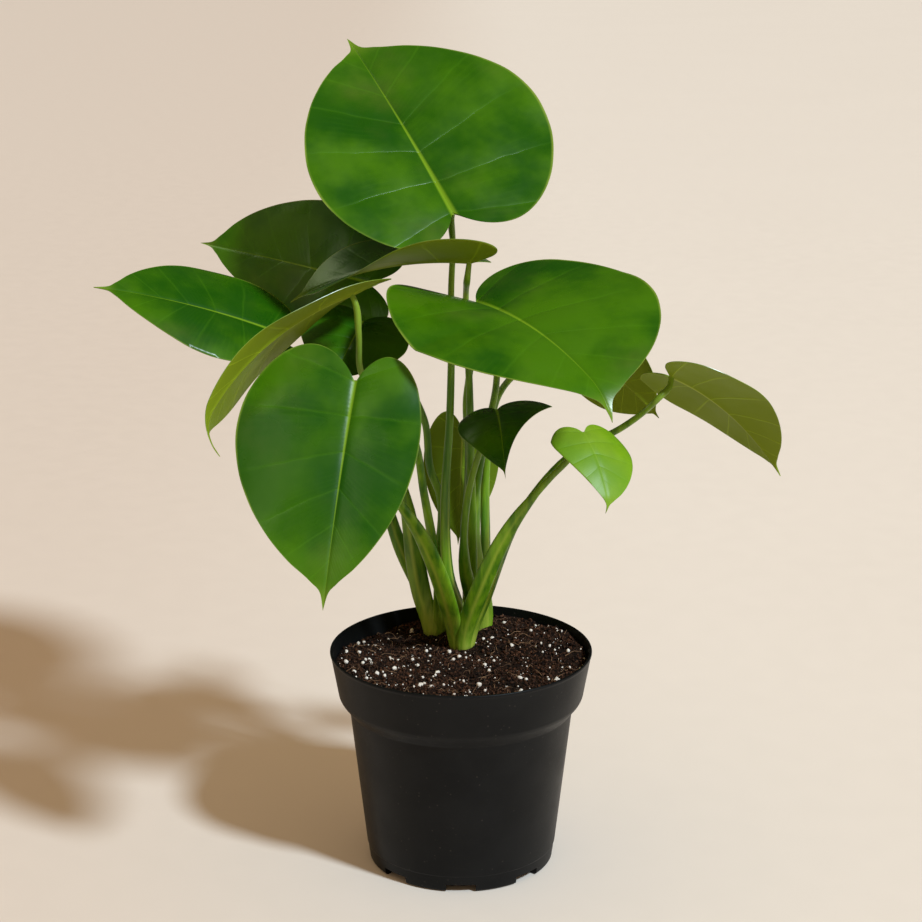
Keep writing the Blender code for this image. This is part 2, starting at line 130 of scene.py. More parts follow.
# Every leaf: base and tip of the blade and the way its upper face looks, then its shape. A pair holds
# the value for the two halves, left then right for someone who looks along the leaf from above.
# Angles are in degrees: arch bends the rib from base to tip, fold tilts each half up from the rib,
# curl bends it on towards its margin, and twist turns the blade about its rib. pinch narrows a half
# towards the tip, sweep and lobes draw its lobe back or shorten it, lift raises it beside the sinus, and
# hook bends up the drip tip. sheath is the width of the stalk's wrapped foot, then the share of its
# length that the wrap covers.
LEAVES = (
    dict(name="top", crown="front", slot=62, base=(-0.005, -0.025, 0.273), tip=(-0.073, 0.085, 0.367),
         face=(0.06, -0.60, 0.80), width=0.162, arch=10, fold=(6, 10), curl=(-6, -10), sweep=(0.08, 0.08),
         halves=(0.95, 1.05), pinch=(0.3, -0.05), sheath=(0.010, 0.45),
         route=((-0.008, -0.017, 0.039), (-0.010, -0.019, 0.089), (-0.007, -0.021, 0.142),
                (-0.006, -0.020, 0.181), (-0.006, -0.008, 0.225), (-0.005, -0.006, 0.248))),
    dict(name="upper_left", crown="left", slot=90, base=(-0.059, 0.005, 0.224), tip=(-0.168, 0.055, 0.240),
         face=(-0.34, -0.84, 0.42), width=0.090, arch=20, fold=(6, 6), curl=(-20, -20), halves=(0.85, 0.98),
         pinch=(0.3, -0.1),
         route=((-0.026, 0.025, 0.013), (-0.040, 0.025, 0.045), (-0.049, 0.023, 0.077),
                (-0.058, 0.019, 0.131), (-0.061, 0.015, 0.179), (-0.061, 0.012, 0.208))),
    dict(name="far_left", crown="left", slot=210, base=(-0.118, -0.025, 0.201), tip=(-0.220, -0.050, 0.232),
         face=(0.30, -0.40, 0.87), width=0.096, arch=16, fold=(6, 6), curl=(-20, -20), halves=(0.85, 0.95),
         sheath=(0.0150, 0.45),
         route=((-0.026, 0.013, 0.017), (-0.036, 0.003, 0.085), (-0.051, -0.007, 0.138),
                (-0.081, -0.019, 0.174), (-0.105, -0.025, 0.188))),
    dict(name="mid_left", crown="front", slot=134, base=(-0.064, -0.085, 0.235), tip=(-0.150, -0.165, 0.161),
         face=(-0.69, 0.34, 0.63), width=0.100, arch=47, fold=(6, 6), curl=(-10, -10), twist=-37,
         halves=(0.5, 1.0), hook=-0.12, sheath=(0.010, 0.4),
         route=((-0.010, -0.011, 0.020), (-0.018, -0.017, 0.062), (-0.023, -0.027, 0.095),
                (-0.029, -0.045, 0.136), (-0.043, -0.063, 0.165), (-0.059, -0.079, 0.186),
                (-0.060, -0.086, 0.212))),
    dict(name="centre", crown="back", slot=-150, base=(0.005, -0.052, 0.248), tip=(-0.106, -0.008, 0.214),
         face=(-0.20, 0.00, 0.90), width=0.110, arch=32, fold=(20, 16), curl=(-10, -10), twist=62,
         halves=(0.62, 0.62), lobes=(1.0, 0.4), pinch=(0.0, -0.4),
         route=((0.006, 0.007, 0.041), (0.006, 0.001, 0.092), (0.006, -0.005, 0.123),
                (0.005, -0.014, 0.168), (0.003, -0.024, 0.204), (0.003, -0.035, 0.225))),
    dict(name="front", crown="front", slot=-154, base=(-0.061, -0.115, 0.189), tip=(-0.078, -0.175, 0.071),
         face=(-0.12, -0.90, 0.30), width=0.107, arch=16, fold=(8, 8), curl=(-16, -16), halves=(0.8, 1.2),
         lobes=(0.8, 0.96), sheath=(0.014, 0.55),
         route=((-0.009, -0.027, 0.025), (-0.025, -0.041, 0.073), (-0.039, -0.053, 0.100),
                (-0.052, -0.075, 0.137), (-0.059, -0.098, 0.169))),
    dict(name="right", crown="back", slot=-30, base=(0.009, -0.045, 0.222), tip=(0.088, -0.153, 0.181),
         face=(0.16, -0.28, 0.95), width=0.150, arch=36, fold=(18, 4), curl=(-10, -20), hook=-0.06,
         lift=(0.1, 0.45), sweep=(0.06, 0.0), pinch=(-0.25, 0.0), sheath=(0.0120, 0.4),
         route=((0.008, 0.015, 0.052), (0.010, 0.010, 0.089), (0.015, 0.003, 0.122),
                (0.022, -0.010, 0.162), (0.021, -0.027, 0.191), (0.014, -0.039, 0.207))),
    dict(name="middle", crown="back", slot=-90, base=(0.022, -0.025, 0.150), tip=(0.027, -0.070, 0.118),
         face=(0.00, -0.45, 0.90), width=0.063, arch=60, fold=(14, -5), curl=(-35, -35), halves=(1.3, 0.95),
         pinch=(2.5, 0.5),
         route=((0.002, -0.009, 0.046), (0.004, -0.014, 0.088), (0.011, -0.018, 0.118),
                (0.018, -0.020, 0.136))),
    dict(name="back_right", crown="back", slot=150, base=(0.055, 0.025, 0.205), tip=(0.104, 0.005, 0.215),
         face=(0.00, -0.30, 0.90), width=0.060, arch=20, fold=(10, 10), curl=(-20, -20),
         route=((0.004, 0.030, 0.047), (0.005, 0.027, 0.109), (0.004, 0.023, 0.150),
                (0.012, 0.023, 0.179), (0.038, 0.025, 0.190))),
    dict(name="behind_right", crown="back", slot=30, base=(0.082, 0.010, 0.177), tip=(0.125, -0.005, 0.139),
         face=(0.30, 0.85, 0.40), width=0.060, arch=20, fold=(6, 6), curl=(-20, -20), sheath=(0.009, 0.45),
         route=((0.016, 0.026, 0.047), (0.016, 0.030, 0.087), (0.018, 0.033, 0.114),
                (0.024, 0.032, 0.144), (0.036, 0.020, 0.162), (0.060, 0.006, 0.172))),
    dict(name="small_right", crown="front", slot=-82, base=(0.075, -0.055, 0.143), tip=(0.089, -0.090, 0.103),
         face=(0.40, -0.55, 0.70), width=0.058, arch=40, fold=(0, -10), curl=(-20, -20), halves=(1.0, 0.9),
         pinch=(0.0, 1.0), hook=-0.08, sheath=(0.0125, 0.72),
         route=((0.012, -0.031, 0.034), (0.034, -0.043, 0.084), (0.055, -0.050, 0.113),
                (0.067, -0.053, 0.127))),
    dict(name="far_right", crown="front", slot=-10, base=(0.128, -0.045, 0.176), tip=(0.200, -0.025, 0.107),
         face=(0.50, 0.70, 0.60), width=0.085, arch=40, fold=(16, 5), curl=(-20, -20),
         halves=(0.85, 1.0), lobes=(0.4, 1.0), sheath=(0.010, 0.45),
         route=((0.015, -0.019, 0.023), (0.040, -0.024, 0.086), (0.071, -0.027, 0.123),
                (0.098, -0.032, 0.139), (0.111, -0.043, 0.152), (0.120, -0.055, 0.165))),
    dict(name="back", crown="back", slot=90, base=(0.001, 0.055, 0.115), tip=(-0.002, 0.040, 0.040),
         face=(0.00, 0.90, 0.30), width=0.050, arch=20, fold=(10, 10), curl=(-20, -20),
         route=((0.010, 0.034, 0.047), (0.010, 0.041, 0.084), (0.005, 0.044, 0.104))),
    dict(name="inner_left", crown="left", slot=-30, base=(-0.060, -0.032, 0.207), tip=(-0.077, -0.077, 0.178),
         face=(0.10, -0.40, 0.90), width=0.067, arch=20, fold=(10, 10), curl=(-20, -20),
         route=((-0.013, 0.001, 0.043), (-0.013, -0.003, 0.087), (-0.019, -0.005, 0.104),
                (-0.023, -0.010, 0.139), (-0.035, -0.018, 0.166), (-0.050, -0.024, 0.187))),
)
PLAIN_SHAPE = dict(arch=0, twist=0, fold=(0, 0), curl=(0, 0), halves=(1, 1), sweep=(0, 0), lobes=(1, 1),
                   lift=(0, 0), pinch=(0, 0), hook=0, sheath=(0.0100, 0.45))
YOUNG_LEAVES = ("small_right", "back")
HOOK_START = 0.8
LIFT_END = 0.3
TWIST_CENTRE = 0.4
FLATTEST_BEND = 1e-4

# Camera and floor.
CAMERA_PLACE = (0.0, -1.3015, 0.6287)
CAMERA_TILT = 15.73  # degrees down from level
CAMERA_LENS = 85.9  # mm, on a 36 mm sensor
FLOOR_SIZE = 40.0
ROOM_TINT = (0.52, 0.375, 0.235)
DIM_ROOM_TINT = (0.042, 0.040, 0.022)  # the room as it shows in reflections
KEY_PLACE = (1.384, -1.253, 2.056)
KEY_STRENGTH = 3.6
KEY_SPREAD = 7.0  # degrees across the key light, seen from the plant
KEY_COLOUR = (0.74, 0.88, 1.0)
WINDOW_PLACE = (-0.95, 0.35, 1.40)  # the window and the screen only show as sheen
SCREEN_PLACE = (-0.62, -1.00, 1.15)
SHEEN_COLOUR = (0.90, 1.0, 0.62)
LAMP_AIM = (0.0, 0.0, 0.28)


# Shader building blocks.

def put(tree, kind, settings=None, **inputs):
    """A node whose inputs, named with underscores for spaces, are values or other nodes' outputs."""
    node = tree.nodes.new(kind)
    for name, value in (settings or {}).items():
        setattr(node, name, value)
    for name, value in inputs.items():
        socket = node.inputs[int(name[1:])] if name[0] == "_" else node.inputs[name.replace("_", " ")]
        if isinstance(value, bpy.types.NodeSocket):
            tree.links.new(value, socket)
        else:
            socket.default_value = value
    return node


def maths(tree, operation, *values, clamp=False):
    settings = {"operation": operation, "use_clamp": clamp}
    inputs = {f"_{place}": value for place, value in enumerate(values)}
    return put(tree, "ShaderNodeMath", settings, **inputs).outputs[0]


def eased(tree, value, low, high, first=0.0, last=1.0):
    """value eased from first, at low, to last, at high."""
    return put(tree, "ShaderNodeMapRange", {"interpolation_type": "SMOOTHSTEP"}, Value=value, From_Min=low,
               From_Max=high, To_Min=first, To_Max=last).outputs["Result"]


def blended(tree, factor, first, second, blend="MIX"):
    """Two colours blended by a factor."""
    settings = {"data_type": "RGBA", "blend_type": blend, "clamp_factor": True}
    node = put(tree, "ShaderNodeMix", settings, _0=factor)
    for socket, colour in ((node.inputs[6], first), (node.inputs[7], second)):
        if isinstance(colour, bpy.types.NodeSocket):
            tree.links.new(colour, socket)
        else:
            socket.default_value = (*colour, 1.0)
    return node.outputs[2]


def mottled(tree, scale, detail=3.0, rough=0.55, stretch=(1, 1, 1)):
    """Soft noise through the object's own coordinates."""
    place = put(tree, "ShaderNodeTexCoord").outputs["Object"]
    place = put(tree, "ShaderNodeMapping", Vector=place, Scale=stretch).outputs[0]
    noise_node = put(tree, "ShaderNodeTexNoise", Vector=place, Scale=scale, Detail=detail, Roughness=rough)
    return noise_node.outputs["Fac"]


def attribute(tree, name):
    return put(tree, "ShaderNodeAttribute", {"attribute_name": name}).outputs["Fac"]


def bumped(tree, height, strength, distance):
    return put(tree, "ShaderNodeBump", Height=height, Strength=strength, Distance=distance).outputs["Normal"]


def finish(name, colour, roughness, normal=None, **constants):
    """A material whose Principled shader takes these colours, roughness and normal."""
    material = bpy.data.materials.new(name)
    material.use_nodes = True
    tree = material.node_tree
    shader = tree.nodes["Principled BSDF"]
    looks = {"Base Color": colour(tree), "Roughness": roughness(tree)}
    if normal:
        looks["Normal"] = normal(tree)
    for socket, value in looks.items():
        tree.links.new(value, shader.inputs[socket])
    for socket, value in constants.items():
        shader.inputs[socket.replace("_", " ")].default_value = value
    return material


def group_of(name, inputs, outputs, build):
    """A shader node group with float sockets: build fills it and returns its outputs by name."""
    tree = bpy.data.node_groups.new(name, "ShaderNodeTree")
    for socket, value in inputs.items():
        tree.interface.new_socket(socket, in_out="INPUT", socket_type="NodeSocketFloat").default_value = value
    for socket in outputs:
        tree.interface.new_socket(socket, in_out="OUTPUT", socket_type="NodeSocketFloat")
    ins = tree.nodes.new("NodeGroupInput")
    outs = tree.nodes.new("NodeGroupOutput")
    for socket, value in build(tree, ins.outputs).items():
        tree.links.new(value, outs.inputs[socket])
    return tree


def use_group(tree, group, **inputs):
    return put(tree, "ShaderNodeGroup", {"node_tree": group}, **inputs).outputs


def vein_group():
    """Masks and heights that follow the blade: rib, side veins, the swell between them, fine streaks."""
    def build(tree, ins):
        across = maths(tree, "ABSOLUTE", attribute(tree, "across"))
        along = attribute(tree, "along")
        reach = maths(tree, "SUBTRACT", 1.0, along, clamp=True)
        rib_half = maths(tree, "MULTIPLY_ADD", maths(tree, "POWER", reach, 2.2), ins["Rib width"], 0.0035)
        rib = eased(tree, maths(tree, "DIVIDE", across, rib_half), 0.3, 1.3, 1.0, 0.0)
        rib = maths(tree, "MULTIPLY", rib, eased(tree, reach, 0.0, 0.75, 0.25, 1.0))
        wobble = maths(tree, "MULTIPLY", maths(tree, "SUBTRACT", mottled(tree, 22.0), 0.5), 0.035)
        lean = maths(tree, "MULTIPLY_ADD", across, 0.16, along)
        spread = maths(tree, "MULTIPLY_ADD", across, 0.95, 1.0)
        start = maths(tree, "ADD", maths(tree, "DIVIDE", lean, spread), wobble)
        swing = maths(tree, "SINE", maths(tree, "MULTIPLY", start, ins["Side veins"]))
        swing = maths(tree, "ABSOLUTE", swing)
        vein = eased(tree, swing, 0.0, 0.16, 1.0, 0.0)
        fade = eased(tree, across, 0.55, 1.0, 1.0, 0.15)
        swell = maths(tree, "MULTIPLY", maths(tree, "POWER", swing, 0.6), fade)
        swell = maths(tree, "MULTIPLY", swell, eased(tree, reach, 0.1, 0.8))
        swell = maths(tree, "MULTIPLY", swell, attribute(tree, "size"))
        streak = maths(tree, "SINE", maths(tree, "MULTIPLY", start, ins["Streaks"]))
        streak = maths(tree, "MULTIPLY", streak, eased(tree, mottled(tree, 30.0), 0.4, 0.7))
        return {"Rib": rib, "Vein": maths(tree, "MULTIPLY", vein, fade), "Swell": swell, "Streak": streak}
    inputs = {"Rib width": 0.026, "Side veins": 20.0, "Streaks": 330.0}
    return group_of("blade_veins", inputs, ("Rib", "Vein", "Swell", "Streak"), build)


def speckle_group():
    """Small scattered flecks, from fine cells with some left out."""
    def build(tree, ins):
        place = put(tree, "ShaderNodeTexCoord").outputs["Object"]
        cells = put(tree, "ShaderNodeTexVoronoi", Vector=place, Scale=ins["Scale"])
        near = eased(tree, cells.outputs["Distance"], 0.15, 0.45, 1.0, 0.0)
        pick = put(tree, "ShaderNodeSeparateColor", Color=cells.outputs["Color"]).outputs[0]
        chosen = maths(tree, "LESS_THAN", pick, ins["Share"])
        return {"Fleck": maths(tree, "MULTIPLY", near, chosen)}
    return group_of("flecks", {"Scale": 900.0, "Share": 0.3}, ("Fleck",), build)


def blade_upper_finish(name, deep, fresh, veins, gloss=0.25):
    """The upper face of a blade: satin green, yellow along its rib and its rim, with a few olive-grey patches
    of painted sheen.
    """
    def colour(tree):
        masks = use_group(tree, veins)
        green = blended(tree, eased(tree, mottled(tree, 16.0, 4.0), 0.36, 0.66), deep, fresh)
        green = blended(tree, eased(tree, mottled(tree, 7.0, 2.0), 0.5, 0.75, 0.0, 0.5), green, fresh)
        # painted sheen: broad olive-grey patches stand in for soft reflections on the upper face
        painted_sheen_patch = eased(tree, mottled(tree, 9.0, 5.0, 0.6), 0.52, 0.72, 0.0, 0.35)
        dull = [0.5 * (part + grey) for part, grey in zip(fresh, (0.15, 0.10, 0.04))]
        green = blended(tree, painted_sheen_patch, green, dull)
        green = blended(tree, maths(tree, "MULTIPLY", masks["Streak"], 0.05), green, (0.08, 0.24, 0.006))
        green = blended(tree, maths(tree, "MULTIPLY", masks["Vein"], 0.16), green, (0.08, 0.24, 0.006))
        green = blended(tree, maths(tree, "MULTIPLY", masks["Rib"], 0.8), green, (0.19, 0.34, 0.012))
        tip = eased(tree, attribute(tree, "along"), 0.86, 1.0, 0.0, 0.7)
        green = blended(tree, tip, green, (0.20, 0.30, 0.02))
        rim = eased(tree, attribute(tree, "edge"), 0.975, 0.998)
        rim = maths(tree, "MULTIPLY", rim, eased(tree, mottled(tree, 40.0), 0.35, 0.65, 0.25, 0.75))
        return blended(tree, rim, green, (0.24, 0.33, 0.04))

    def roughness(tree):
        return eased(tree, mottled(tree, 35.0), 0.3, 0.7, gloss, gloss + 0.09)

    def normal(tree):
        masks = use_group(tree, veins)
        height = maths(tree, "MULTIPLY", masks["Streak"], 0.012)
        height = maths(tree, "MULTIPLY_ADD", masks["Swell"], 0.9, height)
        height = maths(tree, "MULTIPLY_ADD", mottled(tree, 260.0), 0.05, height)
        height = maths(tree, "MULTIPLY_ADD", mottled(tree, 32.0, 2.0), 1.1, height)
        return bumped(tree, height, 0.65, 0.0014)

    return finish(name, colour, roughness, normal, Specular_IOR_Level=0.45)


def blade_lower_finish(name, pale, veins):
    """The under side of a blade: dull and paler, with its veins standing out lighter."""
    def colour(tree):
        masks = use_group(tree, veins)
        dull = blended(tree, mottled(tree, 18.0), pale, [0.7 * part for part in pale])
        dull = blended(tree, maths(tree, "MULTIPLY", masks["Vein"], 0.4), dull, [1.6 * part for part in pale])
        dull = blended(tree, masks["Rib"], dull, (0.32, 0.38, 0.05))
        rim = eased(tree, attribute(tree, "edge"), 0.97, 0.998, 0.0, 0.5)
        return blended(tree, rim, dull, (0.28, 0.35, 0.04))

    def roughness(tree):
        return eased(tree, mottled(tree, 35.0), 0.3, 0.7, 0.55, 0.7)

    def normal(tree):
        masks = use_group(tree, veins)
        height = maths(tree, "MULTIPLY_ADD", masks["Vein"], 0.4, mottled(tree, 45.0, 2.0))
        height = maths(tree, "MULTIPLY_ADD", mottled(tree, 420.0), 0.06, height)
        return bumped(tree, height, 0.4, 0.0009)

    return finish(name, colour, roughness, normal, Specular_IOR_Level=0.15)


def stalk_finish(flecks):
    """A petiole: pale and yellowish at its foot, deeper green above, streaked along its length."""
    def colour(tree):
        rise = attribute(tree, "rise")
        streaks = mottled(tree, 55.0, 3.0, 0.6, (3.0, 3.0, 0.25))
        green = blended(tree, eased(tree, streaks, 0.3, 0.7), (0.040, 0.140, 0.003), (0.170, 0.330, 0.009))
        green = blended(tree, eased(tree, rise, 0.55, 1.0, 0.0, 0.55), green, (0.230, 0.320, 0.030))
        foot = blended(tree, eased(tree, streaks, 0.35, 0.65), (0.190, 0.360, 0.015), (0.400, 0.500, 0.070))
        green = blended(tree, eased(tree, rise, 0.02, 0.17, 0.9, 0.0), green, foot)
        # darker and browner over the last few millimetres above the soil
        height = put(tree, "ShaderNodeSeparateXYZ", Vector=put(tree, "ShaderNodeTexCoord").outputs["Object"])
        height = maths(tree, "MULTIPLY_ADD", mottled(tree, 400.0), 0.004, height.outputs["Z"])
        darker_near_soil = eased(tree, height, SOIL_LEVEL + 0.0010, SOIL_LEVEL + 0.0075, 0.85, 0.0)
        green = blended(tree, darker_near_soil, green, (0.075, 0.050, 0.022))
        ridge = maths(tree, "MULTIPLY", attribute(tree, "ridge"), 0.75)
        green = blended(tree, ridge, green, (0.340, 0.440, 0.045))
        spots = use_group(tree, flecks, Scale=700.0, Share=0.12)["Fleck"]
        return blended(tree, maths(tree, "MULTIPLY", spots, 0.25), green, (0.16, 0.13, 0.04))

    def roughness(tree):
        return eased(tree, mottled(tree, 120.0), 0.3, 0.7, 0.32, 0.46)

    def normal(tree):
        return bumped(tree, mottled(tree, 90.0, 3.0, 0.6, (4.0, 4.0, 0.3)), 0.35, 0.0006)

    return finish("living_stalk", colour, roughness, normal, Specular_IOR_Level=0.3)


def rootstock_finish(flecks):
    def colour(tree):
        height = put(tree, "ShaderNodeSeparateXYZ", Vector=put(tree, "ShaderNodeTexCoord").outputs["Object"])
        rise = eased(tree, height.outputs["Z"], SOIL_LEVEL, SOIL_LEVEL + 0.006)
        skin = blended(tree, mottled(tree, 300.0), (0.20, 0.13, 0.05), (0.32, 0.28, 0.10))
        skin = blended(tree, rise, skin, (0.27, 0.38, 0.08))
        spots = use_group(tree, flecks, Scale=1100.0, Share=0.25)["Fleck"]
        return blended(tree, maths(tree, "MULTIPLY", spots, 0.5), skin, (0.09, 0.055, 0.03))

    def roughness(tree):
        return eased(tree, mottled(tree, 200.0), 0.3, 0.7, 0.5, 0.7)

    def normal(tree):
        return bumped(tree, mottled(tree, 500.0, 4.0), 0.5, 0.0008)

    return finish("rootstock_skin", colour, roughness, normal)


def peat_finish(name, dark, warm, flecks):
    def colour(tree):
        earth = blended(tree, eased(tree, mottled(tree, 520.0, 4.0, 0.7), 0.40, 0.66), dark, warm)
        earth = blended(tree, eased(tree, mottled(tree, 38.0, 2.0), 0.42, 0.7, 0.0, 0.6), earth, dark)
        spots = use_group(tree, flecks, Scale=1500.0, Share=0.05)["Fleck"]
        return blended(tree, maths(tree, "MULTIPLY", spots, 0.8), earth, (0.30, 0.22, 0.16))

    def roughness(tree):
        return eased(tree, mottled(tree, 400.0), 0.3, 0.7, 0.72, 0.98)

    def normal(tree):
        return bumped(tree, mottled(tree, 900.0, 8.0, 0.75), 0.9, 0.0012)

    return finish(name, colour, roughness, normal, Specular_IOR_Level=0.12)


def perlite_finish(flecks):
    def colour(tree):
        shade = eased(tree, mottled(tree, 420.0), 0.35, 0.7)
        white = blended(tree, shade, (0.88, 0.82, 0.73), (0.66, 0.56, 0.46))
        spots = use_group(tree, flecks, Scale=2600.0, Share=0.35)["Fleck"]
        return blended(tree, maths(tree, "MULTIPLY", spots, 0.45), white, (0.28, 0.20, 0.14))

    def roughness(tree):
        return eased(tree, mottled(tree, 700.0), 0.3, 0.7, 0.8, 0.95)

    def normal(tree):
        return bumped(tree, mottled(tree, 1800.0, 5.0), 0.6, 0.0005)

    return finish("perlite", colour, roughness, normal)


def fibre_finish():
    def colour(tree):
        shade = eased(tree, mottled(tree, 90.0), 0.35, 0.65)
        return blended(tree, shade, (0.09, 0.040, 0.018), (0.30, 0.16, 0.075))

    def roughness(tree):
        return eased(tree, mottled(tree, 300.0), 0.3, 0.7, 0.6, 0.85)

    return finish("coir_fibre", colour, roughness)


def plastic_finish(flecks):
    """Black moulded plastic: an even satin with faint mottling, fine scuffs and a little peat dust."""
    def colour(tree):
        shade = eased(tree, mottled(tree, 30.0), 0.3, 0.7)
        base = blended(tree, shade, (0.0030, 0.0032, 0.0034), (0.0055, 0.0057, 0.0058))
        spots = use_group(tree, flecks, Scale=620.0, Share=0.03)["Fleck"]
        base = blended(tree, maths(tree, "MULTIPLY", spots, 0.35), base, (0.06, 0.05, 0.042))
        scuffs = eased(tree, mottled(tree, 60.0, 6.0, 0.7, (1.0, 1.0, 8.0)), 0.62, 0.78, 0.0, 0.25)
        return blended(tree, scuffs, base, (0.022, 0.022, 0.021))

    def roughness(tree):
        broad = eased(tree, mottled(tree, 24.0, 4.0), 0.3, 0.7, 0.36, 0.46)
        return maths(tree, "MULTIPLY_ADD", mottled(tree, 900.0), 0.08, broad)

    def normal(tree):
        height = maths(tree, "MULTIPLY_ADD", mottled(tree, 2600.0, 2.0), 0.25, mottled(tree, 26.0, 2.0))
        return bumped(tree, height, 0.16, 0.0006)

    return finish("pot_plastic", colour, roughness, normal, Specular_IOR_Level=0.15)


def floor_finish():
    def colour(tree):
        place = put(tree, "ShaderNodeSeparateXYZ", Vector=put(tree, "ShaderNodeTexCoord").outputs["Object"])
        # painted shade: the floor is darker and warmer towards the left, where less light reaches it
        side = eased(tree, place.outputs["X"], -0.45, 0.25)
        paper = blended(tree, mottled(tree, 3.0), (0.785, 0.715, 0.630), (0.805, 0.735, 0.650))
        return blended(tree, side, (0.700, 0.600, 0.510), paper)

    def roughness(tree):
        return eased(tree, mottled(tree, 40.0), 0.3, 0.7, 0.7, 0.8)

    return finish("paper_floor", colour, roughness)


# Shaping helpers.

def piece(name, shape, material, crease=60):
    """A mesh object from a bmesh, smooth apart from edges sharper than crease degrees."""
    mesh = bpy.data.meshes.new(name)
    shape.to_mesh(mesh)
    shape.free()
    mesh.shade_smooth()
    mesh.set_sharp_from_angle(angle=math.radians(crease))
    mesh.materials.append(material)
    obj = bpy.data.objects.new(name, mesh)
    bpy.context.scene.collection.objects.link(obj)
    return obj


def settle(obj, slot, *nodes):
    """Rides the body and stands for its CAD nodes, which it hides; the slot is not used."""
    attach(obj, "root")
    if nodes:
        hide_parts(*nodes)
    return obj


def turned(profile, sides):
    """A closed solid of revolution: the profile runs from the axis, outside first, back to the axis."""
    shape = bmesh.new()
    points = [shape.verts.new((radius, 0.0, height)) for radius, height in profile]
    edges = [shape.edges.new(pair) for pair in zip(points, points[1:])]
    bmesh.ops.spin(shape, geom=points + edges, axis=(0, 0, 1), cent=(0, 0, 0), angle=2 * math.pi,
                   steps=sides, use_merge=True, use_duplicate=False)
    bmesh.ops.remove_doubles(shape, verts=shape.verts, dist=1e-6)
    bmesh.ops.recalc_face_normals(shape, faces=shape.faces)
    return shape


def smooth_route(points, steps):
    """Points along a smooth curve through the given ones, straight where it starts and ends."""
    points = [Vector(point) for point in points]
    spans = [(end - start).length for start, end in zip(points, points[1:])]
    slopes = [(end - start) / span for start, end, span in zip(points, points[1:], spans)]
    middle = zip(spans, spans[1:], slopes, slopes[1:])
    headings = [(before * far + after * near) / (near + far) for near, far, before, after in middle]
    headings = [slopes[0], *headings, slopes[-1]]
    route = []
    for start, end, span, leave, arrive in zip(points, points[1:], spans, headings, headings[1:]):
        for step in range(steps):
            share = step / steps
            ease = share * share * (3 - 2 * share)
            route.append(start.lerp(end, ease) + share * (1 - share) ** 2 * span * leave
                         - share * share * (1 - share) * span * arrive)
    return route + [points[-1]]


def rounded(profile, radius, steps=4):
    """The profile with each inner corner replaced by a short arc."""
    points = [Vector((*point, 0.0)) for point in profile]
    result = [points[0]]
    for before, corner, after in zip(points, points[1:], points[2:]):
        reach = min(radius, 0.45 * (corner - before).length, 0.45 * (after - corner).length)
        start = corner + reach * (before - corner).normalized()
        end = corner + reach * (after - corner).normalized()
        for step in range(steps + 1):
            share = step / steps
            result.append((1 - share) ** 2 * start + 2 * share * (1 - share) * corner + share ** 2 * end)
    result.append(points[-1])
    return [(point.x, point.y) for point in result]


# Pot.

def floor_line(lift):
    return [(0.0, lift), (CENTRE_PAD_RADIUS, lift), (CENTRE_PAD_RADIUS + CENTRE_PAD_SLOPE, lift + FOOT_LIFT)]


def wall_radius(height, inset=0.0):
    """Outer radius of the pot at a height, less an inset."""
    levels = (
        (CORNER_RADIUS, BASE_RADIUS),
        (POT_HEIGHT - LIP_DEPTH - LEDGE_DEPTH, SHOULDER_RADIUS),
        (POT_HEIGHT - LIP_DEPTH, LIP_FOOT_RADIUS),
        (POT_HEIGHT, RIM_RADIUS),
    )
    for (low, narrow), (high, wide) in zip(levels, levels[1:]):
        if height <= high:
            break
    share = max(0.0, (height - low) / (high - low))
    return narrow + share * (wide - narrow) - inset


def pot_profile():
    foot_start = BASE_RADIUS - CORNER_RADIUS - FOOT_RING_WIDTH
    shoulder = POT_HEIGHT - LIP_DEPTH - LEDGE_DEPTH
    lip_foot = POT_HEIGHT - LIP_DEPTH
    outside = [
        *floor_line(0.0), (foot_start - CENTRE_PAD_SLOPE, FOOT_LIFT), (foot_start, 0.0),
        (BASE_RADIUS - 0.0030, 0.0), (BASE_RADIUS - 0.0010, 0.0012), (BASE_RADIUS - 0.0004, CORNER_RADIUS),
        (wall_radius(SEAM_HEIGHT - 0.0006, 0.0004), SEAM_HEIGHT - 0.0006),
        (wall_radius(SEAM_HEIGHT), SEAM_HEIGHT), (SHOULDER_RADIUS, shoulder),
        (LIP_FOOT_RADIUS - 0.0012, lip_foot - 0.0012), (LIP_FOOT_RADIUS, lip_foot + 0.0012),
        (RIM_RADIUS - 0.0006, POT_HEIGHT - 0.0024), (RIM_RADIUS, POT_HEIGHT - 0.0012),
        (RIM_RADIUS - 0.0002, POT_HEIGHT),
    ]
    inside = [
        (RIM_RADIUS - POT_WALL, POT_HEIGHT), (LIP_FOOT_RADIUS - POT_WALL, lip_foot),
        (SHOULDER_RADIUS - POT_WALL, shoulder),
        (wall_radius(FOOT_LIFT + FLOOR_THICKNESS, POT_WALL), FOOT_LIFT + FLOOR_THICKNESS),
        *floor_line(FLOOR_THICKNESS)[::-1],
    ]
    return rounded(outside + inside, 0.0009)


def cut_away(obj, cutters):
    """Cuts the shapes out of the piece for good."""
    for number, shape in enumerate(cutters):
        mesh = bpy.data.meshes.new(f"cutter_{number}")
        shape.to_mesh(mesh)
        shape.free()
        tool = bpy.data.objects.new(mesh.name, mesh)
        bpy.context.scene.collection.objects.link(tool)
        modifier = obj.modifiers.new(tool.name, "BOOLEAN")
        modifier.operation = "DIFFERENCE"
        modifier.solver = "EXACT"
        modifier.object = tool
        graph = bpy.context.evaluated_depsgraph_get()
        result = bpy.data.meshes.new_from_object(obj.evaluated_get(graph), depsgraph=graph)
        obj.modifiers.clear()
        obj.data = result
        bpy.data.objects.remove(tool)
    obj.data.shade_smooth()
    obj.data.set_sharp_from_angle(angle=math.radians(40))


